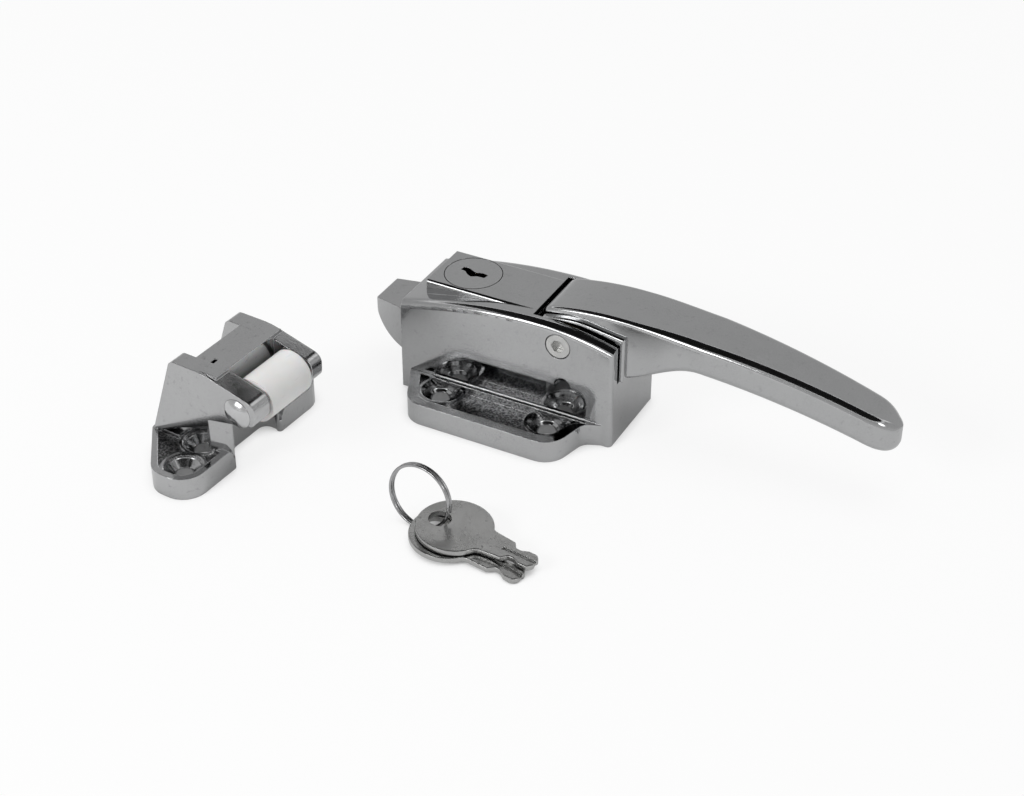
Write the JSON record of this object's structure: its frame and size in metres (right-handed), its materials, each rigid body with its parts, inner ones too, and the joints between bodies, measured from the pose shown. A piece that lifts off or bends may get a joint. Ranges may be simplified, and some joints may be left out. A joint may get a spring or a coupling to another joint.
{
  "type": "cold room door latch",
  "caption": "Chromed surface-mounted spring latch with a long lifting lever and key lock, shown with its roller strike and a pair of keys on a split ring.",
  "frame": {"origin": "centre of the latch's screw pattern, on its mounting face", "axes": "+X along the latch from the bolt to the tip of the lever, +Z out of the door, +Y across the latch away from the strike and the keys"},
  "size_m": [0.2451, 0.1532, 0.0506],
  "materials": {
    "chrome_casting": "polished, a little worn",
    "chrome_bolt": "polished",
    "plated_pin": "satin nickel",
    "spring_steel": "dark drawn wire",
    "lock_steel": "zinc plated",
    "lock_face": "finely brushed",
    "key_metal": "nickel plated, tumbled",
    "bearing_bronze": "plain",
    "wafer_brass": "stamped",
    "roller_nylon": "white nylon"
  },
  "bodies": {
    "latch": {"housing": "chrome_casting", "pivot_pin": "plated_pin", "pivot_nut": "plated_pin", "pivot_washers": "bearing_bronze", "bolt_springs": "spring_steel", "spring_guides": "lock_steel", "lock_barrel": "lock_steel"},
    "lever": {"lever": "chrome_casting", "lever_bush": "bearing_bronze"},
    "bolt": {"bolt": "chrome_bolt"},
    "plug": {"lock_plug": "lock_face", "lock_wafers": "wafer_brass", "lock_clip": "spring_steel", "lock_cam": "lock_steel", "cam_screw": "lock_steel"},
    "strike": {"strike_body": "chrome_casting", "roller_axle": "plated_pin", "roller_washers": "lock_steel"},
    "roller": {"strike_roller": "roller_nylon"},
    "ring": {"key_ring": "key_metal"},
    "upper_key": {"key_upper": "key_metal"},
    "lower_key": {"key_lower": "key_metal"}
  },
  "joints": [
    {"name": "lever_lift", "type": "hinge", "parent": "latch", "child": "lever", "pos_m": [0.0228, 0, 0.0369], "axis": [0, -1, 0], "range_deg": [0, 40]},
    {"name": "bolt_slide", "type": "slide", "parent": "latch", "child": "bolt", "axis": [1, 0, 0], "range_m": [0, 0.0103], "stiffness_N_per_m": 500, "springref_m": -0.008, "deforming": ["bolt_springs"]},
    {"name": "plug_turn", "type": "hinge", "parent": "latch", "child": "plug", "pos_m": [-0.0208, 0, 0.04], "axis": [0, 0, -1], "range_deg": [0, 90]},
    {"name": "strike_off", "type": "slide", "parent": "latch", "child": "strike", "axis": [0, 0, 1], "range_m": [0, 0.08]},
    {"name": "roller_spin", "type": "hinge", "parent": "strike", "child": "roller", "pos_m": [-0.05838, -0.07684, 0.0302], "axis": [0.0802, 0.9968, 0], "continuous": true},
    {"name": "ring_off", "type": "slide", "parent": "latch", "child": "ring", "axis": [0, 0, 1], "range_m": [0, 0.08]},
    {"name": "upper_key_swing", "type": "hinge", "parent": "ring", "child": "upper_key", "pos_m": [0.0144, -0.0887, 0.0053], "axis": [0.0452, -0.0043, 0.999], "range_deg": [-8, 12]},
    {"name": "lower_key_swing", "type": "hinge", "parent": "ring", "child": "lower_key", "pos_m": [0.0129, -0.0896, 0.003], "axis": [0.0442, -0.0102, 0.999], "range_deg": [-10, 5]}
  ],
  "couplings": [
    {"joint": "bolt_slide", "follows": "lever_lift", "m_per_rad": 0.0147}
  ]
}
